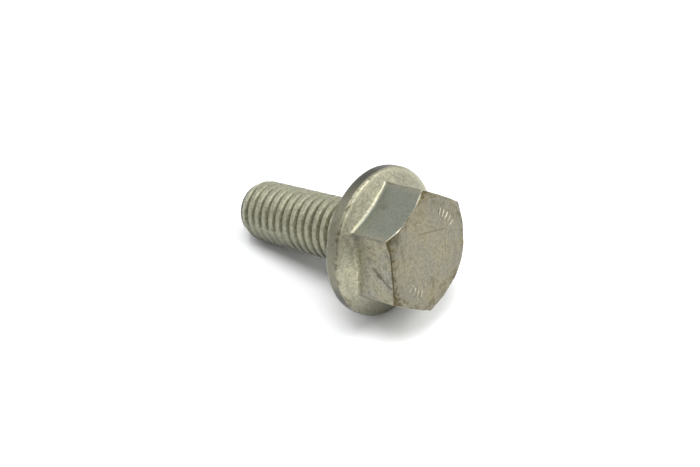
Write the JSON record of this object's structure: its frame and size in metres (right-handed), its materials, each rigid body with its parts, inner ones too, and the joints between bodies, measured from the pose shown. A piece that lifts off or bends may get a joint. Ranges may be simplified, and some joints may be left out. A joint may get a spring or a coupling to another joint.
{
  "type": "hex flange bolt",
  "caption": "Hex head bolt with a conical flange that works as a washer and a fully threaded shank, plated in dull olive grey.",
  "frame": {"origin": "centre of the flat top of the head, on which the bolt stands", "axes": "+Z along the shank from the head to the tip; +X through one corner of the hexagon, so two flats face +Y and -Y"},
  "size_m": [0.0178, 0.0178, 0.028],
  "materials": {
    "plated_steel": "dull olive-grey zinc plating over steel, worn bright along the edges, with brown stains and light scratches"
  },
  "bodies": {
    "root": {"flange_bolt": "plated_steel"}
  },
  "joints": []
}
